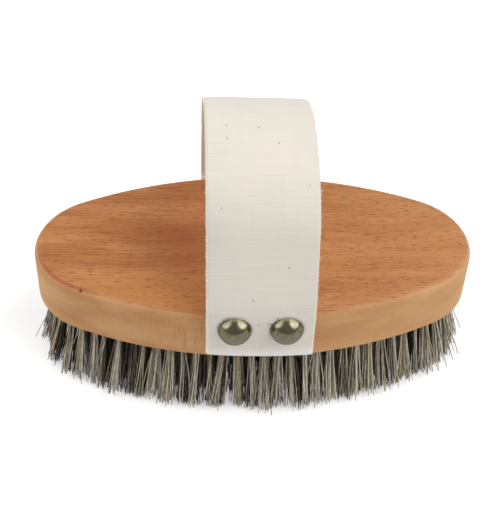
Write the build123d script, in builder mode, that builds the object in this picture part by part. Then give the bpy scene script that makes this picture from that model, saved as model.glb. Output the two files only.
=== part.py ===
from build123d import *
from math import atan2, ceil, cos, degrees, radians, sin, tan
import os

# Body dry brush: an oval beech block, a bed of bristle tufts set in blind holes and
# held by flat wire anchors, and a cotton hand strap nailed to the two long sides.
# Millimetres. Origin at the middle of the plane of the bristle tips, X along the
# block, Z up. The hand goes under the strap along X.

# Block
block_length = 140
block_width = 70
block_thickness = 17
end_radius = 24
top_edge_radius = 2.3
bottom_edge_radius = 0.6

# Bristle tufts
bristle_length = 23.5
tuft_hole_radius = 1.5
tuft_hole_depth = 9
tuft_fold_radius = 1.2
tuft_tip_radius = 2.0
outer_ring_inset = 6.4
ring_spacing = 5.2
ring_pitches = [4.35, 4.8, 5.0, 5.2]
ring_leans = [10, 7, 4.5, 2]
standing_every = 4
row_spacing = 6.7
row_pitch = 5.3
middle_row_count = 15
middle_standing_every = 3
side_row_count = 9

# Wire anchors across the tuft folds
anchor_width = 2.9
anchor_thickness = 0.4
anchor_height = 1.8
fold_below_anchor = 0.7
slot_clearance = 0.05

# Strap
strap_width = 32.5
strap_thickness = 1.3
strap_rise = 46.5
crown_radius = 38.5
crown_slope = 21
shoulder_radius = 24.3
leg_lean = 15.6
leg_bend_radius = 30
leg_bend_height = 3.6
hem_height = 13.6
hem_above_block_bottom = 2.3
side_clearance = 0.05

# Nails
nail_spacing = 15.4
nail_drop = 2.8
head_radius = 5.1
head_height = 3.9
head_wall = 0.5
shank_radius = 0.9
shank_length = 15
shank_point_length = 3
shank_disc_radius = 2
shank_disc_thickness = 0.5
pilot_clearance = 0.03
strap_hole_clearance = 0.1

# Levels and places that follow
block_bottom = bristle_length
block_top = block_bottom + block_thickness
end_centre = block_length / 2 - end_radius
radius_step = block_width / 2 - end_radius
side_centre = (end_centre**2 - radius_step**2) / (2 * radius_step)
side_radius = side_centre + block_width / 2
join_angle = degrees(atan2(side_centre, end_centre))
hem_bottom = block_bottom + hem_above_block_bottom
strap_inner_y = block_width / 2 + side_clearance
strap_centre_y = strap_inner_y + 1.5 * strap_thickness
strap_face_y = strap_inner_y + 2 * strap_thickness
nail_z = block_top - nail_drop

os.makedirs("parts", exist_ok=True)


def save(part, name):
    """Label a finished piece and write its STEP file."""
    part.label = name
    export_step(part, f"parts/{name}.step")


# Outline ---------------------------------------------------------------------------


def oval_arcs(inset=0):
    """Four tangent arcs of the block's oval, or of a line that runs inset inside it."""
    end_arc = end_radius - inset
    side_arc = side_radius - inset
    side_sweep = 180 - 2 * join_angle
    CenterArc((end_centre, 0), end_arc, -join_angle, 2 * join_angle)
    CenterArc((0, -side_centre), side_arc, join_angle, side_sweep)
    CenterArc((-end_centre, 0), end_arc, 180 - join_angle, 2 * join_angle)
    CenterArc((0, side_centre), side_arc, 180 + join_angle, side_sweep)


# Tuft layout: each plane stands in a hole's mouth, with its Z out along the tuft -----


def ring_mouths(inset, pitch, lean):
    """Mouth planes evenly spaced along one oval ring, all leaning outward."""
    with BuildLine() as ring:
        oval_arcs(inset)
    path = Wire(ring.edges())
    count = standing_every * ceil(path.length / pitch / standing_every)
    tip_distance = radians(join_angle) * (end_radius - inset)
    mouths = []
    for number in range(count):
        distance = (tip_distance + path.length * (number + 0.5) / count) % path.length
        place = path.position_at(distance, position_mode=PositionMode.LENGTH)
        along = path.tangent_at(distance, position_mode=PositionMode.LENGTH)
        outward = Vector(along.Y, -along.X, 0)
        if outward.dot(place) < 0:
            outward = -outward
        axis = outward * sin(radians(lean)) - Vector(0, 0, cos(radians(lean)))
        mouths.append(Plane(origin=place + Vector(0, 0, block_bottom), x_dir=along, z_dir=axis))
    return mouths


def row_mouths(row_y, count):
    """Mouth planes of one straight row along X, pointing straight down."""
    mouths = []
    for number in range(count):
        row_x = (number - (count - 1) / 2) * row_pitch
        mouths.append(Plane(origin=(row_x, row_y, block_bottom), x_dir=(1, 0, 0), z_dir=(0, 0, -1)))
    return mouths


rings = []
for index, (pitch, lean) in enumerate(zip(ring_pitches, ring_leans)):
    rings.append(ring_mouths(outer_ring_inset + index * ring_spacing, pitch, lean))

middle_row = row_mouths(0, middle_row_count)
side_rows = row_mouths(-row_spacing, side_row_count) + row_mouths(row_spacing, side_row_count)
middle_rows = middle_row + side_rows

all_mouths = [mouth for ring in rings for mouth in ring] + middle_rows


# Block -----------------------------------------------------------------------------


def nail_plane(side, nail_x, distance_y):
    """Plane whose Y points out of the block's long side, through a nail's axis."""
    return Plane(origin=(nail_x, side * distance_y, nail_z), x_dir=(1, 0, 0), z_dir=(0, 0, side))


def nail_hole_plane(side, nail_x, distance_y):
    """Plane whose Z points out of the block's long side, along a nail's axis."""
    return Plane(origin=(nail_x, side * distance_y, nail_z), x_dir=(1, 0, 0), z_dir=(0, side, 0))


nail_places = []
for side_name, side in (("front", -1), ("back", 1)):
    for hand_name, hand in (("left", -1), ("right", 1)):
        nail_places.append((f"{side_name}_{hand_name}", side, hand * nail_spacing / 2))

shank_reach = shank_length - 2 * strap_thickness

with BuildPart() as brush_block:
    with BuildSketch(Plane.XY.offset(block_bottom)):
        with BuildLine():
            oval_arcs()
        make_face()
    extrude(amount=block_thickness)
    fillet(brush_block.faces().sort_by(Axis.Z)[-1].edges(), top_edge_radius)
    fillet(brush_block.faces().sort_by(Axis.Z)[0].edges(), bottom_edge_radius)
    with Locations(*all_mouths):
        Hole(tuft_hole_radius, tuft_hole_depth)
    with Locations(*[nail_hole_plane(side, x, block_width / 2) for _, side, x in nail_places]):
        Hole(shank_radius + pilot_clearance, shank_reach)
save(brush_block.part, "brush_block")


# Tufts and anchors -----------------------------------------------------------------

tuft_reach = tuft_hole_depth + bristle_length / cos(radians(max(ring_leans))) + tuft_tip_radius
slot_width = anchor_thickness + 2 * slot_clearance
slot_height = anchor_height + 2 * slot_clearance
slot_level = fold_below_anchor + slot_height / 2 - tuft_hole_depth


def save_tufts(mouths, name):
    """Folded tufts, one solid each, slotted for their anchors and trimmed level."""
    with BuildPart() as tufts:
        with Locations(*[mouth.offset(-tuft_hole_depth) for mouth in mouths]):
            Cone(tuft_fold_radius, tuft_tip_radius, tuft_reach, align=(Align.CENTER, Align.CENTER, Align.MIN))
        with Locations(*[mouth.offset(slot_level) for mouth in mouths]):
            Box(2 * tuft_hole_radius, slot_width, slot_height, mode=Mode.SUBTRACT)
        split(bisect_by=Plane.XY, keep=Keep.TOP)
    save(tufts.part, name)


def save_anchors(mouths, name):
    """Flat wire anchors, one across each tuft just above its fold."""
    with BuildPart() as anchors:
        with Locations(*[mouth.offset(slot_level) for mouth in mouths]):
            Box(anchor_width, anchor_thickness, anchor_height)
    save(anchors.part, name)


def save_standing_tufts(mouths, every, first, name):
    """Every few tufts, from the first on, in a node of their own. Returns the others."""
    save_tufts(mouths[first::every], name)
    return [mouth for number, mouth in enumerate(mouths) if number % every != first]


ring_1_others = save_standing_tufts(rings[0], standing_every, 0, "tufts_ring_1_standing")
save_tufts(ring_1_others, "tufts_ring_1")
save_anchors(rings[0], "anchors_ring_1")
for number, mouths in enumerate(rings[1:], start=2):
    save_tufts(mouths, f"tufts_ring_{number}")
    save_anchors(mouths, f"anchors_ring_{number}")
middle_others = save_standing_tufts(middle_row, middle_standing_every, 1, "tufts_middle_standing")
save_tufts(middle_others + side_rows, "tufts_middle_rows")
save_anchors(middle_rows, "anchors_middle_rows")


# Strap -----------------------------------------------------------------------------

bend_z = block_top + leg_bend_height
crown_z = block_top + strap_rise - strap_thickness / 2
apex_z = crown_z + crown_radius * (1 / cos(radians(crown_slope)) - 1)
lean_run = tan(radians(leg_lean))
crown_fall = tan(radians(crown_slope))
shoulder_y = (strap_centre_y - (apex_z - bend_z) * lean_run) / (1 - crown_fall * lean_run)
shoulder_z = apex_z - shoulder_y * crown_fall
front_half = [(-strap_centre_y, hem_bottom), (-strap_centre_y, bend_z), (-shoulder_y, shoulder_z)]
back_half = [(-y, z) for y, z in reversed(front_half)]
bend_radii = [leg_bend_radius, shoulder_radius, crown_radius, shoulder_radius, leg_bend_radius]
hem_y = strap_inner_y + strap_thickness

with BuildPart() as strap:
    with BuildSketch(Plane.YZ):
        with BuildLine():
            FilletPolyline(*front_half, (0, apex_z), *back_half, radius=bend_radii)
        trace(line_width=strap_thickness)
    extrude(amount=strap_width / 2, both=True)
    with Locations((0, -hem_y, hem_bottom), (0, hem_y, hem_bottom)):
        Box(strap_width, 2 * strap_thickness, hem_height, align=(Align.CENTER, Align.CENTER, Align.MIN))
    fillet(strap.edges().filter_by(Axis.X).group_by(Axis.Z)[0], strap_thickness * 0.8)
    with Locations(*[nail_hole_plane(side, x, hem_y) for _, side, x in nail_places]):
        Hole(shank_radius + strap_hole_clearance, 2 * strap_thickness)
save(strap.part, "strap")


# Nails -----------------------------------------------------------------------------


def dome_sphere(radius, height):
    """Sphere radius of a cap with this base radius and height."""
    return (radius**2 + height**2) / (2 * height)


def save_nail_head(side, nail_x, name):
    """Pressed dome, open towards the strap."""
    plane = nail_plane(side, nail_x, strap_face_y + side_clearance)
    inner_radius = head_radius - head_wall
    inner_height = head_height - head_wall
    with BuildPart() as head:
        with BuildSketch(plane):
            with BuildLine():
                RadiusArc((head_radius, 0), (0, head_height), -dome_sphere(head_radius, head_height))
                Line((0, head_height), (0, inner_height))
                RadiusArc((0, inner_height), (inner_radius, 0), dome_sphere(inner_radius, inner_height))
                Line((inner_radius, 0), (head_radius, 0))
            make_face()
        revolve(axis=Axis(plane.origin, plane.y_dir))
    save(head.part, name)


def save_nail_shank(side, nail_x, name):
    """Pointed steel shank with the small disc that the dome is crimped over."""
    plane = nail_plane(side, nail_x, strap_face_y)
    disc_inner = head_height - head_wall - 2 * shank_disc_thickness
    disc_outer = disc_inner + shank_disc_thickness
    with BuildPart() as shank:
        with BuildSketch(plane):
            with BuildLine():
                Polyline(
                    (0, disc_outer),
                    (shank_disc_radius, disc_outer),
                    (shank_disc_radius, disc_inner),
                    (shank_radius, disc_inner),
                    (shank_radius, shank_point_length - shank_length),
                    (0, -shank_length),
                    close=True,
                )
            make_face()
        revolve(axis=Axis(plane.origin, plane.y_dir))
    save(shank.part, name)


for place_name, side, nail_x in nail_places:
    save_nail_head(side, nail_x, f"nail_head_{place_name}")
    save_nail_shank(side, nail_x, f"nail_shank_{place_name}")
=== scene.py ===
"""Body dry brush: the looks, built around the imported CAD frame.

Everything is in metres in the CAD's own frame: the origin is in the middle of the plane of
the bristle tips, X runs along the block, Z is up and the near long side faces -Y. Lengths
below are written in millimetres and turned into metres by MM.
"""

import math

import bpy
import numpy as np
from mathutils import Matrix, Vector


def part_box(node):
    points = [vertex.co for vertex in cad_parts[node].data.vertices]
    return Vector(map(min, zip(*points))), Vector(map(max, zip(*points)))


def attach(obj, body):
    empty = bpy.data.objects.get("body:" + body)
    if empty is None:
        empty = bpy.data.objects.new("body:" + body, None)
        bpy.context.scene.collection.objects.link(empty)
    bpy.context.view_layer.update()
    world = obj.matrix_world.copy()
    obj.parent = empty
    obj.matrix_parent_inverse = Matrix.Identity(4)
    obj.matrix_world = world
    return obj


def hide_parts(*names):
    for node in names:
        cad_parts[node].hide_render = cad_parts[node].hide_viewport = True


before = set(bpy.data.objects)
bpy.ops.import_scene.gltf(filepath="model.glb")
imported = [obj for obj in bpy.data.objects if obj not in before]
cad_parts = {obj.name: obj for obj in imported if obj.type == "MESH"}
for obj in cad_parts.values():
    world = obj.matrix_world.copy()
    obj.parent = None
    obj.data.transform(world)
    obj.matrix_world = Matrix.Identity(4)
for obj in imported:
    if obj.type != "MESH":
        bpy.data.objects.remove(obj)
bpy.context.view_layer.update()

MM = 0.001
SEED = 458

# The frame's own places, in millimetres
block_low, block_high = (np.array(corner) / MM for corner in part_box("brush_block"))
strap_low, strap_high = (np.array(corner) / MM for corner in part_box("strap"))
nail_low, nail_high = (np.array(corner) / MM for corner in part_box("nail_head_front_right"))
block_top = block_high[2]
block_bottom = block_low[2]
nail_x, _, nail_z = (nail_low + nail_high) / 2
nail_radius = (nail_high[2] - nail_low[2]) / 2

# Block outline: the side arc that the strap's ends lie against
side_radius = 125.7

# Strap: the route's own numbers are the CAD strap's
strap_width = strap_high[0] - strap_low[0]
strap_thickness = 1.3
crown_radius = 38.5
crown_slope = math.radians(21)
shoulder_radius = 24.3
leg_lean = math.radians(15.6)
leg_bend_radius = 30
leg_bend_height = 3.6
hem_height = 13.6

# The cloth itself, with the fall across its width and the back leg's shift towards -X
cloth_thickness = 1.16
selvedge_radius = 0.5
crown_tilt = 0.025
back_shift = 0.5
strap_step = 0.4
strap_columns = 56
bend_steps = 48
weave_pitch = 0.62
raised_yarns = 46
edge_curl = 0.35
nail_pucker = 0.22
tucked_stations = 30
loose_ends = 520
loose_end_radius = 0.06
loose_end_steps = 5

# Lint under each near nail
wisps_per_nail = 11
wisp_radius = 0.07
wisp_steps = 9

# Bristles
fibres_per_tuft = 62
root_spread = 1.32
depth_in_hole = 3.0
lowest_cut = 0.12
floor_clearance = 0.25
short_share = 0.05
wild_share = 0.1

# Floor: half its side, its level, and where its glow for the camera grows to full white
floor_reach = 3000
floor_level = -0.05
glow_start = 400
glow_end = 1100
near_glow = 0.42

# Light from all round
room_light = 0.32

# Camera: the pictured view
camera_place = Vector((-20.56, -254.14, 259.52)) * MM
camera_pitch = math.radians(41.508)
camera_yaw = math.radians(4.480)
camera_roll = math.radians(2.453)
focal_length = 73.60
sensor_size = 36


# Small helpers -------------------------------------------------------------------------


def linear(red, green, blue):
    """A colour of 0 to 255 per channel as the linear RGBA that shaders take."""
    share = np.array([red, green, blue]) / 255
    light = np.where(share <= 0.04045, share / 12.92, ((share + 0.055) / 1.055) ** 2.4)
    return (*(float(x) for x in light), 1.0)


def smooth_step(low, high, value):
    """0 below low, 1 above high and a smooth rise between them."""
    share = np.clip((value - low) / (high - low), 0, 1)
    return share * share * (3 - 2 * share)


def mesh_piece(name, points, faces, slot, *nodes):
    """A mesh piece, its points in millimetres, that rides on the brush and replaces nodes."""
    mesh = bpy.data.meshes.new(name)
    mesh.from_pydata((np.asarray(points) * MM).tolist(), [], faces)
    mesh.polygons.foreach_set("use_smooth", [True] * len(mesh.polygons))
    piece = bpy.data.objects.new(name, mesh)
    bpy.context.scene.collection.objects.link(piece)
    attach(piece, "root")
    if nodes:
        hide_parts(*nodes)
    return piece


class Paint:
    """A Principled material under construction, with short calls to add nodes and wire them."""

    def __init__(self, name, **sockets):
        self.material = bpy.data.materials.new(name)
        self.material.use_nodes = True
        self.tree = self.material.node_tree
        self.shader = self.tree.nodes["Principled BSDF"]
        for socket, value in sockets.items():
            self.set(socket.replace("_", " "), value)

    def set(self, socket, value):
        """Gives a shader socket a number, a colour or another node's output."""
        self.feed(self.shader.inputs[socket], value)

    def feed(self, socket, value):
        """Gives any socket a plain value or a link."""
        if isinstance(value, bpy.types.NodeSocket):
            self.tree.links.new(value, socket)
        else:
            socket.default_value = value

    def node(self, kind, inputs, **settings):
        """A new node with its settings and inputs."""
        made = self.tree.nodes.new("ShaderNode" + kind)
        for name, value in settings.items():
            setattr(made, name, value)
        for socket, value in inputs.items():
            self.feed(made.inputs[socket], value)
        return made

    def place(self):
        """The point in the row frame, in millimetres."""
        point = self.node("TexCoord", {}).outputs["Object"]
        return self.scaled(point, 1 / MM, 1 / MM, 1 / MM)

    def attribute(self, name):
        """A vector that the mesh carries at its points."""
        return self.node("Attribute", {}, attribute_name=name).outputs["Vector"]

    def part(self, vector, axis):
        """One coordinate of a vector: X, Y or Z."""
        return self.node("SeparateXYZ", {0: vector}).outputs[axis]

    def length(self, vector):
        """A vector's length."""
        return self.node("VectorMath", {0: vector}, operation="LENGTH").outputs["Value"]

    def scaled(self, vector, x, y, z):
        """A vector with each coordinate multiplied."""
        return self.node("Mapping", {"Vector": vector, "Scale": (x, y, z)}).outputs["Vector"]

    def noise(self, vector, scale=1, detail=2, roughness=0.5, distortion=0):
        """Soft noise from 0 to 1, mostly between 0.3 and 0.7."""
        inputs = {"Vector": vector, "Scale": scale, "Detail": detail, "Roughness": roughness}
        inputs["Distortion"] = distortion
        return self.node("TexNoise", inputs).outputs["Fac"]

    def rise(self, value, low, high, start=0, end=1):
        """A smooth rise from start at low to end at high."""
        inputs = {"Value": value, "From Min": low, "From Max": high}
        inputs.update({"To Min": start, "To Max": end})
        return self.node("MapRange", inputs, interpolation_type="SMOOTHSTEP").outputs["Result"]

    def maths(self, operation, first, second=0.0):
        """One arithmetic step."""
        made = self.node("Math", {0: first, 1: second}, operation=operation)
        return made.outputs["Value"]

    def blend(self, share, first, second):
        """Two colours mixed by share."""
        made = self.node("Mix", {}, data_type="RGBA")
        self.feed(made.inputs[0], share)
        self.feed(made.inputs[6], first)
        self.feed(made.inputs[7], second)
        return made.outputs[2]

    def tint(self, colour, mask, amount, tone):
        """A colour pulled towards a tone, by amount where mask is 1."""
        return self.blend(self.maths("MULTIPLY", mask, amount), colour, tone)

    def near(self, vector, centre, reach, soft=0.5):
        """1 round centre and 0 beyond reach, an ellipsoid's three radii."""
        inverse = [1 / r for r in reach]
        inputs = {"Vector": vector, "Scale": inverse}
        inputs["Location"] = [-c / r for c, r in zip(centre, reach)]
        moved = self.node("Mapping", inputs).outputs["Vector"]
        return self.rise(self.length(moved), soft, 1, 1, 0)

    def bump(self, height, strength, distance):
        """Sets the normal from a height, distance in millimetres."""
        inputs = {"Height": height, "Strength": strength, "Distance": distance * MM}
        self.set("Normal", self.node("Bump", inputs).outputs["Normal"])


def wear(piece, *paints):
    """Gives a piece its materials, one slot for each."""
    piece.data.materials.clear()
    for paint in paints:
        piece.data.materials.append(paint.material)


# Wood ----------------------------------------------------------------------------------


def beech_grain(wood, place):
    """Slightly wandering grain: broad bands, streaks, fine lines and short flecks."""
    wander = wood.noise(wood.scaled(place, 0.018, 0.05, 0.05), detail=2)
    waved = wood.node("CombineXYZ", {"Y": wood.maths("MULTIPLY", wander, 9.0)})
    along = wood.node("VectorMath", {0: place, 1: waved.outputs["Vector"]}).outputs["Vector"]
    fleck_noise = wood.noise(wood.scaled(along, 0.34, 2.9, 1.9), detail=1, distortion=0.25)
    return {
        "along": along,
        "bands": wood.noise(wood.scaled(along, 0.02, 0.15, 0.1), detail=4, roughness=0.6),
        "streaks": wood.noise(wood.scaled(along, 0.07, 1.25, 0.7), detail=4, roughness=0.6),
        "fine": wood.noise(wood.scaled(along, 0.2, 3.4, 2.2), detail=3, roughness=0.6),
        "flecks": wood.rise(fleck_noise, 0.585, 0.69),
    }


def beech_top(wood, grain, rightward_tone_and_light):
    """Colours of the top: deeper in the middle left, golden at the near left, paler right; the paler
    right is partly the wood's tone and partly painted light from the right.
    """
    pale = linear(211, 146, 91)
    middle = linear(190, 123, 70)
    deep = linear(155, 87, 45)
    top = wood.blend(wood.rise(grain["bands"], 0.36, 0.62), pale, middle)
    top = wood.blend(wood.rise(grain["streaks"], 0.42, 0.7, 0, 0.5), top, deep)
    top = wood.blend(wood.rise(grain["fine"], 0.45, 0.75, 0, 0.35), top, deep)
    patch = wood.near(grain["along"], (-21, 2, block_top), (25, 26, 30), soft=0.1)
    top = wood.tint(top, patch, 0.62, linear(158, 88, 50))
    golden = wood.near(grain["along"], (-40, -20, block_top), (34, 17, 30), soft=0.2)
    top = wood.tint(top, golden, 0.55, linear(214, 149, 84))
    # Paler towards the right: partly the wood's own tone, partly painted light from the right.
    top = wood.blend(rightward_tone_and_light, top, linear(210, 150, 97))
    return wood.tint(top, grain["flecks"], 0.65, linear(122, 64, 33))


def beech_side(wood, place, rightward_tone_and_light):
    """Colours of the sides: calm, with upright saw ticks near the left nail and a few pores, and
    paler to the right, partly the wood's tone and partly painted light.
    """
    tone = wood.noise(wood.scaled(place, 0.05, 0.05, 0.16), detail=3)
    side = wood.blend(wood.rise(tone, 0.3, 0.7), linear(211, 162, 112), linear(194, 140, 91))
    # Paler towards the right: partly the wood's own tone, partly painted light from the right.
    side = wood.blend(rightward_tone_and_light, side, linear(222, 170, 118))
    tick_noise = wood.noise(wood.scaled(place, 1.9, 1.9, 0.1), detail=2)
    near_left = wood.near(place, (-14, -34, 30), (34, 30, 20), soft=0.2)
    ticks = wood.maths("MULTIPLY", wood.rise(tick_noise, 0.52, 0.7), near_left)
    side = wood.tint(side, ticks, 0.4, linear(160, 105, 68))
    pores = wood.rise(wood.noise(wood.scaled(place, 0.5, 2.2, 2.2), detail=1), 0.64, 0.74)
    return wood.tint(side, pores, 0.25, linear(150, 100, 66))


def beech_edge(wood, place, top, side):
    """Top and side meet on the rounding, browned at the near left end, with one small knot."""
    normal = wood.node("NewGeometry", {}).outputs["Normal"]
    upright = wood.maths("ABSOLUTE", wood.part(normal, "Z"))
    colour = wood.blend(wood.rise(upright, 0.66, 0.97), side, top)
    rounding = wood.maths("MULTIPLY", wood.rise(upright, 0.6, 0.86), wood.rise(upright, 0.999, 0.94))
    left_end = wood.near(place, (-64, -20, block_top), (20, 17, 8), soft=0.35)
    browned = wood.maths("MULTIPLY", rounding, left_end)
    colour = wood.tint(colour, browned, 0.7, linear(160, 82, 46))
    knot = wood.near(place, (-53.9, -21.9, block_top - 0.5), (0.7, 1.0, 1.1), soft=0.2)
    return wood.blend(knot, colour, linear(105, 45, 22))


def beech():
    """Oiled beech: long grain and short dark flecks on top, calmer and paler on the sides."""
    wood = Paint("oiled_beech", Specular_IOR_Level=0.2)
    place = wood.place()
    grain = beech_grain(wood, place)
    # Rises to the right: part wood tone, part painted light falling from the right.
    rightward_tone_and_light = wood.rise(wood.part(place, "X"), -10, 50, 0, 0.36)
    top = beech_top(wood, grain, rightward_tone_and_light)
    side = beech_side(wood, place, rightward_tone_and_light)
    wood.set("Base Color", beech_edge(wood, place, top, side))
    wood.set("Roughness", wood.rise(grain["streaks"], 0.3, 0.7, 0.5, 0.62))
    relief = wood.maths("SUBTRACT", grain["fine"], wood.maths("MULTIPLY", grain["flecks"], 1.5))
    wood.bump(relief, 0.35, 0.08)
    return wood


# Strap ---------------------------------------------------------------------------------


def canvas_weave(cotton, cloth):
    """Height of the plain weave, from its warp and weft."""
    turn = 2 * math.pi / weave_pitch
    across = cotton.maths("SINE", cotton.maths("MULTIPLY", cotton.part(cloth, "X"), turn))
    along = cotton.maths("SINE", cotton.maths("MULTIPLY", cotton.part(cloth, "Y"), turn * 1.15))
    return cotton.maths("MULTIPLY", across, along)


def husk_specks(cotton, cloth):
    """1 on a few scattered specks of seed husk."""
    inputs = {"Vector": cotton.scaled(cloth, 1, 0.75, 1), "Scale": 0.12}
    dots = cotton.node("TexVoronoi", inputs, voronoi_dimensions="2D")
    picked = cotton.node("SeparateColor", {0: dots.outputs["Color"]}).outputs[0]
    speck = cotton.rise(dots.outputs["Distance"], 0.018, 0.034, 1, 0)
    return cotton.maths("MULTIPLY", speck, cotton.rise(picked, 0.55, 0.6))


def canvas():
    """Unbleached cotton canvas: plain weave, uneven weft, a few flecks of seed husk, with painted
    light on the hem and painted bounce light and shade on the inner face.

    It reads the strap's own "cloth" vectors: across, along and height in the cloth.
    """
    cotton = Paint("cotton_canvas", Roughness=0.88, Specular_IOR_Level=0.2, Sheen_Weight=0.12)
    cloth = cotton.attribute("cloth")
    slub_noise = cotton.noise(cotton.scaled(cloth, 0.05, 1.7, 1), detail=3, roughness=0.6)
    slubs = cotton.rise(slub_noise, 0.56, 0.72)
    gaps = cotton.rise(slub_noise, 0.42, 0.3)
    warp_noise = cotton.noise(cotton.scaled(cloth, 1.5, 0.06, 1), detail=2)
    broad = cotton.noise(cotton.scaled(cloth, 0.05, 0.05, 1), detail=2)

    colour = cotton.blend(cotton.rise(broad, 0.3, 0.7), linear(240, 232, 219), linear(235, 228, 217))
    colour = cotton.tint(colour, slubs, 0.5, linear(246, 241, 231))
    colour = cotton.tint(colour, gaps, 0.2, linear(218, 208, 192))
    warp = cotton.rise(warp_noise, 0.45, 0.75, 0, 0.06)
    colour = cotton.blend(warp, colour, linear(212, 203, 188))
    colour = cotton.tint(colour, husk_specks(cotton, cloth), 0.7, linear(96, 84, 62))
    # Painted light: the cloth is lightened towards white near the block's bottom, on the hem.
    painted_hem_light = cotton.rise(cotton.part(cotton.place(), "Z"), block_bottom + 8, block_bottom + 4)
    colour = cotton.tint(colour, painted_hem_light, 0.8, linear(250, 248, 243))
    # Painted light and shade: the inner face is tinted warm tan, standing in for light bounced off
    # the wood and for shade.
    inner_face_painted_bounce = cotton.rise(cotton.part(cloth, "Z"), 0.2, -0.4)
    colour = cotton.tint(colour, inner_face_painted_bounce, 0.9, linear(240, 228, 211))
    cotton.set("Base Color", colour)

    weave = canvas_weave(cotton, cloth)
    height = cotton.maths("ADD", cotton.maths("MULTIPLY", weave, 0.22), slubs)
    height = cotton.maths("ADD", height, cotton.maths("MULTIPLY", gaps, -0.6))
    cotton.bump(height, 0.5, 0.07)
    return cotton


def filleted(corners, radii, step):
    """Points at even steps along straight runs joined by tangent arcs, a radius per corner."""
    path = [np.array(corners[0], float)]
    for before, corner, after, radius in zip(corners, corners[1:], corners[2:], radii):
        before, corner, after = (np.array(p, float) for p in (before, corner, after))
        inward = (corner - before) / np.linalg.norm(corner - before)
        outward = (after - corner) / np.linalg.norm(after - corner)
        turn = math.atan2(inward[0] * outward[1] - inward[1] * outward[0], inward @ outward)
        start = corner - inward * radius * math.tan(abs(turn) / 2)
        side = np.array((-inward[1], inward[0])) * math.copysign(1, turn)
        centre = start + side * radius
        for share in np.linspace(0, 1, bend_steps):
            cosine, sine = math.cos(turn * share), math.sin(turn * share)
            arm = start - centre
            path.append(centre + (arm[0] * cosine - arm[1] * sine, arm[0] * sine + arm[1] * cosine))
    path.append(np.array(corners[-1], float))
    path = np.array(path)
    run = np.concatenate([[0], np.cumsum(np.linalg.norm(np.diff(path, axis=0), axis=1))])
    count = int(run[-1] / step)
    even = np.linspace(0, run[-1], count + 1)
    return np.stack([np.interp(even, run, path[:, 0]), np.interp(even, run, path[:, 1])], 1), even


def strap_route():
    """The cloth's middle line in Y and Z, from one tucked hem over the arch to the other."""
    outer_y = strap_high[1] - strap_thickness / 2
    inner_y = outer_y - strap_thickness
    fold_radius = strap_thickness / 2
    bottom = strap_low[2] + strap_thickness - fold_radius
    leg_foot = block_top + leg_bend_height
    crown_drop = crown_radius / math.cos(crown_slope) - crown_radius
    apex = strap_high[2] - strap_thickness / 2 + crown_drop
    leg_rise, crown_fall = 1 / math.tan(leg_lean), math.tan(crown_slope)
    shoulder_y = (leg_foot + outer_y * leg_rise - apex) / (leg_rise - crown_fall)
    shoulder_z = apex - shoulder_y * crown_fall
    half = [
        (inner_y, strap_low[2] + hem_height),
        (inner_y, bottom),
        (outer_y, bottom),
        (outer_y, leg_foot),
        (shoulder_y, shoulder_z),
    ]
    corners = [(-y, z) for y, z in half] + [(0, apex)] + half[::-1]
    bends = [fold_radius * 0.999, fold_radius * 0.999, leg_bend_radius, shoulder_radius]
    return filleted(corners, bends + [crown_radius] + bends[::-1], strap_step)


def strap_section():
    """The cloth's cut end: a thin bar with softly rounded selvedges, as (across, out) points."""
    half_width, half_height = strap_width / 2, cloth_thickness / 2
    flat_edge = half_width - selvedge_radius
    turn = np.radians([0, 22, 45, 68, 90])
    columns = np.linspace(-flat_edge, flat_edge, strap_columns)
    right = [(flat_edge + selvedge_radius * math.sin(a), half_height * math.cos(a)) for a in turn]
    upper = [(x, half_height) for x in columns[:-1]] + right
    lower = [(-x, -z) for x, z in upper]
    return np.array(upper[:-1] + [(half_width, 0)] + lower[:-1] + [(-half_width, 0)])


def headings(route):
    """Unit directions along a route."""
    heading = np.gradient(route, axis=0)
    return heading / np.linalg.norm(heading, axis=1)[:, None]


def side_sag(level, side):
    """How far the cloth falls back to follow the curve of the block's side."""
    follow = (1 - smooth_step(block_top - 2, block_top + 12, level)) * 0.75
    return follow * side**2 / (2 * side_radius)


def strap_points(side, route_y, y, z):
    """Points on the strap, with its fall across and its back leg's shift."""
    x = side - back_shift * smooth_step(0, strap_high[1], route_y)
    return np.stack(np.broadcast_arrays(x, y, z - crown_tilt * side), -1)


def cloth_lift(route, run, side):
    """Soft unevenness of hand-tightened cloth, raised weft yarns and a rise round the nails."""
    rng = np.random.default_rng(SEED)
    along, level = run[:, None], route[:, 1][:, None]
    free = smooth_step(block_top, block_top + 14, level)
    ripple = 0.16 * np.sin(along / 8.3 + side / 11) + 0.1 * np.sin(along / 4.1 - side / 6.5 + 2)
    curl = -edge_curl * (2 * side / strap_width) ** 4
    lift = free * (ripple + curl)
    for _ in range(raised_yarns):
        middle = rng.uniform(-strap_width / 2, strap_width / 2)
        reach = rng.uniform(3, 12)
        yarn = np.exp(-(((along - rng.uniform(0, run[-1])) / 0.34) ** 2))
        lift = lift + rng.uniform(0.03, 0.075) * yarn * np.exp(-(((side - middle) / reach) ** 4))
    from_nail = np.hypot(np.abs(side) - nail_x, level - nail_z)
    outer_layer = (np.abs(route[:, 0]) > strap_high[1] - strap_thickness)[:, None]
    pucker = np.exp(-(((from_nail - nail_radius - 0.6) / 1.1) ** 2))
    return lift + outer_layer * nail_pucker * pucker


def swept_faces(stations, ring):
    """Faces of a closed ring of points swept over stations, with both ends capped."""
    faces = []
    for i in range(stations - 1):
        for j in range(ring):
            k = (j + 1) % ring
            faces.append((i * ring + j, i * ring + k, (i + 1) * ring + k, (i + 1) * ring + j))
    faces.append(tuple(range(ring))[::-1])
    faces.append(tuple((stations - 1) * ring + j for j in range(ring)))
    return faces


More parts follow.
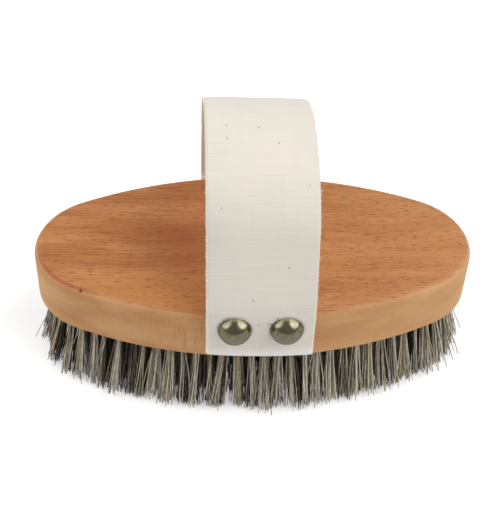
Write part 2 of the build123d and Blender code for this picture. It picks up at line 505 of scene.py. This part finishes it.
def strap():
    """The hand strap: one length of canvas, its ends turned under and nailed to the sides."""
    route, run = strap_route()
    section = strap_section()
    heading = headings(route)
    side, height = section[:, 0][None, :], section[:, 1][None, :]
    route_y, level = route[:, 0][:, None], route[:, 1][:, None]
    reach_out = height + cloth_lift(route, run, side)
    y = route_y - heading[:, 1][:, None] * reach_out
    y = y - np.sign(route_y) * side_sag(level, side)
    z = level + heading[:, 0][:, None] * reach_out
    points = strap_points(side, route_y, y, z)
    faces = swept_faces(len(route), len(section))
    piece = mesh_piece("strap_canvas", points.reshape(-1, 3), faces, "canvas", "strap")
    cloth = np.stack(np.broadcast_arrays(side, run[:, None], height), -1).astype(np.float32)
    mark = piece.data.attributes.new("cloth", "FLOAT_VECTOR", "POINT")
    mark.data.foreach_set("vector", cloth.ravel())
    wear(piece, canvas())


def fray():
    """Loose cotton ends that stand out of the strap's selvedges."""
    rng = np.random.default_rng(SEED + 60)
    route, _ = strap_route()
    heading = headings(route)
    index = rng.integers(tucked_stations, len(route) - tucked_stations, loose_ends)
    edge = rng.choice((-1, 1), loose_ends)[:, None]
    share = np.linspace(0, 1, loose_end_steps)[None]
    length = rng.uniform(0.15, 0.62, loose_ends)[:, None]
    drift = rng.normal(0, 0.45, loose_ends)[:, None] * length
    out_drift = rng.normal(0, 0.2, loose_ends)[:, None] * length
    side = edge * (strap_width / 2 - 0.15 + length * share)
    bend = drift * share**2
    lift = out_drift * share**2 + rng.uniform(-0.4, 0.4, loose_ends)[:, None]
    route_y, level = route[index, 0][:, None], route[index, 1][:, None]
    ahead_y, ahead_z = heading[index, 0][:, None], heading[index, 1][:, None]
    y = route_y + ahead_y * bend - ahead_z * lift - np.sign(route_y) * side_sag(level, side)
    z = level + ahead_z * bend + ahead_y * lift
    paths = strap_points(side, route_y, y, z)
    cotton = Paint("loose_cotton", Roughness=0.9)
    tone = cotton.noise(cotton.place(), scale=0.8, detail=2)
    cotton.set("Base Color", cotton.blend(tone, linear(242, 234, 220), linear(224, 214, 198)))
    points, quads, caps = tubes(paths, np.full(paths.shape[:2], loose_end_radius))
    wear(mesh_piece("strap_fray", points, tube_faces(quads, caps), "canvas"), cotton)


# Bristles ------------------------------------------------------------------------------


def linked_parts(mesh, points):
    """A label for each vertex, the same for all that edges or equal places join."""
    _, welded = np.unique(np.round(points, 3), axis=0, return_inverse=True)
    welded = welded.ravel()
    ends = np.array([e.vertices[:] for e in mesh.edges])
    label = np.arange(welded.max() + 1)
    first, second = welded[ends[:, 0]], welded[ends[:, 1]]
    while True:
        lowest = np.minimum(label[first], label[second])
        before = label.copy()
        np.minimum.at(label, first, lowest)
        np.minimum.at(label, second, lowest)
        label = label[label]
        if (label == before).all():
            return label[welded]


def tufts_of(*nodes):
    """Each tuft's mouth in the block's underside and its direction, from the CAD's tufts."""
    mouths, ways = [], []
    for name in nodes:
        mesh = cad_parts[name].data
        points = np.array([v.co for v in mesh.vertices]) / MM
        owner = linked_parts(mesh, points)
        for tuft in np.unique(owner):
            own = points[owner == tuft]
            level = own[:, 2]
            tip = own[level < level.min() + 1.0].mean(0)
            fold = own[level > level.max() - 1.5].mean(0)
            way = (tip - fold) / np.linalg.norm(tip - fold)
            mouths.append(fold + way * (block_bottom - fold[2]) / way[2])
            ways.append(way)
    return np.array(mouths), np.array(ways)


FIBRE_KINDS = {
    # name: share of the fibres, radius, colours at the root and at the tip; the darker root colours
    # are partly dirt and partly painted shade
    "horsehair_black": (0.4, 0.125, (34, 27, 23), (54, 45, 39)),
    "horsehair_brown": (0.13, 0.135, (84, 68, 54), (118, 101, 84)),
    "fibre_grey": (0.18, 0.16, (158, 148, 130), (194, 185, 166)),
    "fibre_cream": (0.24, 0.185, (222, 213, 192), (243, 236, 218)),
    "fibre_straw": (0.05, 0.18, (182, 166, 120), (212, 196, 150)),
}


def fibre(name, root, tip):
    """One kind of bristle: its tone varies from fibre to fibre and lightens to the tip, the darker
    root partly dirt and partly painted shade under the block.
    """
    hair = Paint(name, Roughness=0.5, Specular_IOR_Level=0.35)
    place = hair.place()
    each = hair.noise(hair.scaled(place, 2.1, 2.1, 0.12), detail=2)
    # Darker at the root: partly dirt, partly painted shade where the fibres crowd under the block;
    # lighter at the tip.
    root_dirt_and_shade_fade = hair.rise(hair.part(place, "Z"), block_bottom, 0)
    colour = hair.blend(root_dirt_and_shade_fade, linear(*root), linear(*tip))
    darker = hair.blend(0.45, colour, linear(*(0.55 * c for c in root)))
    hair.set("Base Color", hair.blend(hair.rise(each, 0.35, 0.68), darker, colour))
    hair.bump(hair.noise(hair.scaled(place, 9, 9, 0.8), detail=1), 0.2, 0.03)
    return hair


def tubes(paths, radii, sides=3):
    """Points, side quads and end caps of thin tubes: paths is (tube, ring, 3)."""
    count, rings = radii.shape
    heading = paths[:, -1] - paths[:, 0]
    heading /= np.linalg.norm(heading, axis=1)[:, None]
    first = np.cross(heading, (0.31, 0.95, 0.02))
    first /= np.linalg.norm(first, axis=1)[:, None]
    second = np.cross(heading, first)
    angle = np.arange(sides) * 2 * math.pi / sides
    spoke = first[:, None] * np.cos(angle)[:, None] + second[:, None] * np.sin(angle)[:, None]
    points = paths[:, :, None] + radii[:, :, None, None] * spoke[:, None]
    start = (np.arange(count) * rings * sides)[:, None, None]
    ring = (np.arange(rings - 1) * sides)[None, :, None]
    side = np.arange(sides)[None, None, :]
    beside = (side + 1) % sides
    near, far = start + ring, start + ring + sides
    quads = np.stack([near + side, near + beside, far + beside, far + side], -1)
    ends = np.stack([np.arange(sides)[::-1], (rings - 1) * sides + np.arange(sides)])
    caps = start + ends[None]
    return points.reshape(-1, 3), quads.reshape(count, -1, 4), caps


def tube_faces(quads, caps):
    """The sides of all tubes, then all their caps, as plain tuples."""
    return [tuple(q) for q in quads.reshape(-1, 4)] + [tuple(c) for c in caps.reshape(-1, 3)]


def side_directions(mouth, way):
    """Two directions square to each fibre: outward from the brush's middle, and along the ring."""
    along = np.cross((0, 0, 1), way + np.array((0, 0.01, 0)))
    along /= np.linalg.norm(along, axis=1)[:, None]
    outward = np.cross(way, along)
    outward *= np.sign((outward * mouth).sum(1))[:, None]
    return outward, along


def roots_and_tips(rng, owner, tufts, spread):
    """Where each fibre leaves its hole and where its tip goes, about its tuft's axis."""
    count = len(owner)
    radius = root_spread * np.sqrt(rng.random(count))
    angle = rng.random(count) * 2 * math.pi
    root = np.stack([radius * np.cos(angle), radius * np.sin(angle)], 1)
    tuft_spread = rng.uniform(0.75, 1.35, tufts)[owner, None] * spread
    wild = np.where(rng.random(count) < wild_share, 2.3, 1)[:, None]
    tip = root * (1 + 0.75 * tuft_spread) + rng.normal(0, 0.62, (count, 2)) * tuft_spread * wild
    tip += rng.normal(0, 0.55, (tufts, 2))[owner]
    return root, tip


def cut_levels(rng, owner, tufts):
    """How far above the floor each fibre ends: most reach it, some stay short."""
    count = len(owner)
    end = np.abs(rng.normal(0, 0.5, count)) + lowest_cut
    end += rng.uniform(-0.2, 0.5, tufts)[owner].clip(0)
    short = rng.random(count) < short_share
    return np.where(short, end + rng.uniform(1, 6, count), end)


def kinds_placed_as_painted_shade(rng, owner, tufts, root):
    """A kind for each fibre: pale ones gather in the middle of a tuft and on its outward side, dark
    ones at its flanks and inward side, a painted light and shade that darkens the gaps between
    tufts.
    """
    count = len(owner)
    aside = np.abs(root[:, 1] / root_spread - rng.normal(0, 0.35, tufts)[owner])
    tone = 0.5 * root[:, 0] / root_spread - 0.8 * aside + rng.normal(0, 0.42, count)
    tone += rng.normal(0, 0.26, tufts)[owner]
    rank = np.empty(count)
    rank[np.argsort(tone)] = np.linspace(0, 1, count)
    shares = np.cumsum([kind[0] for kind in FIBRE_KINDS.values()])
    return np.searchsorted(shares / shares[-1], rank).clip(0, len(shares) - 1)


def bristle_piece(name, nodes, stream, splay=0.0, spread=1.0, rings=6):
    """All fibres of one ring of tufts, splayed from their holes and cut to an uneven end."""
    rng = np.random.default_rng(SEED + stream)
    mouths, ways = tufts_of(*nodes)
    tufts = len(mouths)
    owner = np.repeat(np.arange(tufts), fibres_per_tuft)
    count = len(owner)
    mouth, way = mouths[owner], ways[owner]
    outward, along = side_directions(mouth, way)
    root, tip = roots_and_tips(rng, owner, tufts, spread)
    bow = rng.normal(0, 0.32, (count, 2))
    kink = rng.normal(0, 0.07, (count, 2))
    end = cut_levels(rng, owner, tufts)

    # From inside the hole to the cut end; free is 0 at the mouth and 1 at the end
    share = np.linspace(0, 1, rings)
    reach = (block_bottom - end) / -way[:, 2]
    depth = -depth_in_hole + (reach + depth_in_hole)[:, None] * share[None]
    free = np.clip(depth / reach[:, None], 0, 1)[..., None]
    offset = root[:, None] + (tip - root)[:, None] * free**1.25
    at_end = smooth_step(0.6, 0.93, np.abs(mouth[:, :1]) / block_high[0])
    offset[..., 0] += splay * (1 - 0.75 * at_end) * free[..., 0] ** 1.6
    offset = offset + bow[:, None] * np.sin(math.pi * free) * free
    offset = offset + kink[:, None] * np.sin(3.2 * math.pi * free)
    path = mouth[:, None] + way[:, None] * depth[..., None]
    path = path + outward[:, None] * offset[..., :1] + along[:, None] * offset[..., 1:]
    path[..., 2] = np.maximum(path[..., 2], floor_clearance)

    # Dark fibres are set where the gaps between tufts fall in shade: painted shade.
    chosen = kinds_placed_as_painted_shade(rng, owner, tufts, root)
    thickness = np.array([kind[1] for kind in FIBRE_KINDS.values()])[chosen]
    thickness = thickness * rng.uniform(0.75, 1.25, count)
    radii = thickness[:, None] * (1 - 0.15 * share[None] ** 2)
    points, quads, caps = tubes(path, radii)
    piece = mesh_piece(name, points, tube_faces(quads, caps), "bristle", *nodes)
    wear(piece, *fibre_paints)
    index = np.concatenate([np.repeat(chosen, quads.shape[1]), np.repeat(chosen, caps.shape[1])])
    piece.data.polygons.foreach_set("material_index", index.astype(np.int32))


# Metal ---------------------------------------------------------------------------------


def antique_brass():
    """Darkened, lacquered brass: olive, mottled, darker towards the rim, partly patina and partly
    painted contact shadow where the head meets the strap.
    """
    brass = Paint("antique_brass", Metallic=1.0, Coat_Weight=0.4, Coat_Roughness=0.2)
    place = brass.place()
    aside = brass.maths("SUBTRACT", brass.maths("ABSOLUTE", brass.part(place, "X")), nail_x)
    above = brass.maths("SUBTRACT", brass.part(place, "Z"), nail_z)
    flat = brass.node("CombineXYZ", {"X": aside, "Z": above}).outputs["Vector"]
    rim_patina_and_shade = brass.rise(brass.length(flat), nail_radius * 0.86, nail_radius)
    mottle = brass.noise(place, scale=0.9, detail=4, roughness=0.6)
    colour = brass.blend(brass.rise(mottle, 0.35, 0.7), linear(131, 126, 102), linear(113, 106, 79))
    # Darker towards the rim: partly patina, partly painted contact shadow where the head meets the
    # strap.
    colour = brass.tint(colour, rim_patina_and_shade, 0.6, linear(70, 62, 40))
    brass.set("Base Color", colour)
    brass.set("Roughness", brass.rise(mottle, 0.3, 0.75, 0.2, 0.28))
    brass.bump(brass.noise(place, scale=2.2, detail=3), 0.12, 0.05)
    return brass


def drawn_steel(name, tone):
    """Drawn wire steel with fine lines along it."""
    steel = Paint(name, Metallic=1.0)
    place = steel.place()
    lines = steel.noise(steel.scaled(place, 6, 0.4, 6), detail=3)
    colour = steel.blend(lines, linear(*(0.8 * c for c in tone)), linear(*tone))
    steel.set("Base Color", colour)
    steel.set("Roughness", steel.rise(lines, 0.3, 0.7, 0.28, 0.45))
    steel.bump(lines, 0.1, 0.02)
    return steel


def lint():
    """A few wisps of dark thread caught under the near nails' heads; their dark colour is partly
    painted shade under the heads.
    """
    rng = np.random.default_rng(SEED + 90)
    thread = Paint("caught_thread_painted_shade", Roughness=0.9)
    place = thread.place()
    tone = thread.noise(place, scale=1.5, detail=2)
    # Dark thread tones: partly the thread's own colour, partly painted shade under the heads.
    thread.set("Base Color", thread.blend(tone, linear(46, 43, 36), linear(92, 87, 74)))
    share = np.linspace(0, 1, wisp_steps)
    paths = []
    for centre in (-nail_x, nail_x):
        for _ in range(wisps_per_nail):
            angle = math.radians(rng.uniform(112, 168))
            start = np.array([math.cos(angle), math.sin(angle)]) * (nail_radius - 0.25)
            drift = rng.normal(0, 0.42, 2) + start / nail_radius * rng.uniform(0.3, 0.9)
            swirl = rng.uniform(0.12, 0.3)
            bend = rng.uniform(4, 9)
            x = centre + start[0] + drift[0] * share + swirl * np.sin(bend * share)
            z = nail_z + start[1] + drift[1] * share + swirl * np.cos(bend * share)
            y = strap_low[1] - 0.12 - 0.12 * np.sin(math.pi * share)
            paths.append(np.stack([x, y, z], 1))
    paths = np.array(paths)
    points, quads, caps = tubes(paths, np.full(paths.shape[:2], wisp_radius))
    wear(mesh_piece("nail_lint", points, tube_faces(quads, caps), "canvas"), thread)


# Studio --------------------------------------------------------------------------------


def floor():
    """A plain pale floor under the bristle tips that stays white for the camera far out."""
    corners = [(-1, -1), (1, -1), (1, 1), (-1, 1)]
    points = [(x * floor_reach, y * floor_reach, floor_level) for x, y in corners]
    mesh = bpy.data.meshes.new("floor")
    mesh.from_pydata((np.array(points) * MM).tolist(), [], [(0, 1, 2, 3)])
    piece = bpy.data.objects.new("floor", mesh)
    bpy.context.scene.collection.objects.link(piece)
    paint = Paint("pale_floor", Roughness=0.9, Specular_IOR_Level=0.1)
    place = paint.place()
    tone = paint.noise(place, scale=0.004, detail=2)
    paint.set("Base Color", paint.blend(tone, (0.86, 0.86, 0.86, 1), (0.88, 0.88, 0.88, 1)))
    paint.set("Emission Color", (1, 1, 1, 1))
    seen = paint.node("LightPath", {}).outputs["Is Camera Ray"]
    glow = paint.rise(paint.length(place), glow_start, glow_end, near_glow, 1)
    paint.set("Emission Strength", paint.maths("MULTIPLY", seen, glow))
    wear(piece, paint)


def softbox(name, place, size, power, target=(0, 0, 45), reflected=False):
    """A large area light that faces the brush, or a card that is only seen in its gloss."""
    light = bpy.data.lights.new(name, "AREA")
    light.shape = "ELLIPSE" if reflected else "RECTANGLE"
    light.size, light.size_y = size[0] * MM, size[1] * MM
    light.energy = power
    lamp = bpy.data.objects.new(name, light)
    lamp.location = Vector(place) * MM
    lamp.visible_diffuse = not reflected
    lamp.visible_glossy = reflected
    lamp.visible_camera = False
    lamp.rotation_mode = "QUATERNION"
    aim = (Vector(target) - Vector(place)).normalized()
    lamp.rotation_quaternion = aim.to_track_quat("-Z", "Y")
    bpy.context.scene.collection.objects.link(lamp)


def backdrop():
    """Soft light from all round, and plain white where the camera looks past the floor."""
    world = bpy.data.worlds.new("studio")
    world.use_nodes = True
    tree = world.node_tree
    background = tree.nodes["Background"]
    background.inputs["Color"].default_value = (1, 1, 1, 1)
    seen = tree.nodes.new("ShaderNodeLightPath").outputs["Is Camera Ray"]
    glow = tree.nodes.new("ShaderNodeMapRange")
    glow.inputs["To Min"].default_value = room_light
    glow.inputs["To Max"].default_value = 1.0
    tree.links.new(seen, glow.inputs["Value"])
    tree.links.new(glow.outputs["Result"], background.inputs["Strength"])
    bpy.context.scene.world = world


def studio():
    """Floor, two large softboxes, three cards that only show in gloss, and the backdrop."""
    floor()
    softbox("left_softbox", (-940, 60, 790), (1200, 1250), 8)
    softbox("right_softbox", (780, -250, 920), (1300, 1150), 10.4)
    softbox("left_card", (-740, 130, 590), (1400, 1250), 10.5, reflected=True)
    softbox("right_card", (690, -20, 690), (1500, 1100), 14, reflected=True)
    softbox("top_card", (0, 190, 1000), (750, 520), 2.2, reflected=True)
    backdrop()
    bpy.context.scene.view_settings.view_transform = "Standard"


def camera():
    """The pictured view: from in front and above, turned and rolled slightly."""
    view = bpy.data.cameras.new("camera")
    view.sensor_width = sensor_size
    view.lens = focal_length
    view.clip_start = 0.01
    view.clip_end = 20
    eye = bpy.data.objects.new("camera", view)
    bpy.context.scene.collection.objects.link(eye)
    flat = math.cos(camera_pitch)
    ahead = Vector(
        (math.sin(camera_yaw) * flat, math.cos(camera_yaw) * flat, -math.sin(camera_pitch))
    )
    level = Vector((math.cos(camera_yaw), -math.sin(camera_yaw), 0))
    upward = level.cross(ahead)
    right = level * math.cos(camera_roll) + upward * math.sin(camera_roll)
    up = upward * math.cos(camera_roll) - level * math.sin(camera_roll)
    turn = Matrix((right, up, -ahead)).transposed().to_4x4()
    eye.matrix_world = Matrix.Translation(camera_place) @ turn
    bpy.context.scene.camera = eye


# The brush -----------------------------------------------------------------------------

camera()
studio()

wear(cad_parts["brush_block"], beech())
brass = antique_brass()
nail_steel = drawn_steel("nail_steel", (176, 175, 172))
anchor_steel = drawn_steel("anchor_wire", (190, 190, 190))
for name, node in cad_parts.items():
    if name.startswith("nail_head"):
        wear(node, brass)
    elif name.startswith("nail_shank"):
        wear(node, nail_steel)
    elif name.startswith("anchors"):
        wear(node, anchor_steel)

strap()
fray()
lint()

fibre_paints = [fibre(name, root, tip) for name, (_, _, root, tip) in FIBRE_KINDS.items()]
bristle_piece("bristles_ring_1", ["tufts_ring_1", "tufts_ring_1_standing"], 1, splay=2.0, spread=1.1)
bristle_piece("bristles_ring_2", ["tufts_ring_2"], 2, splay=1.7)
bristle_piece("bristles_ring_3", ["tufts_ring_3"], 3, splay=1.0, rings=5)
bristle_piece("bristles_ring_4", ["tufts_ring_4"], 4, rings=5)
bristle_piece("bristles_middle", ["tufts_middle_rows", "tufts_middle_standing"], 5, rings=5)
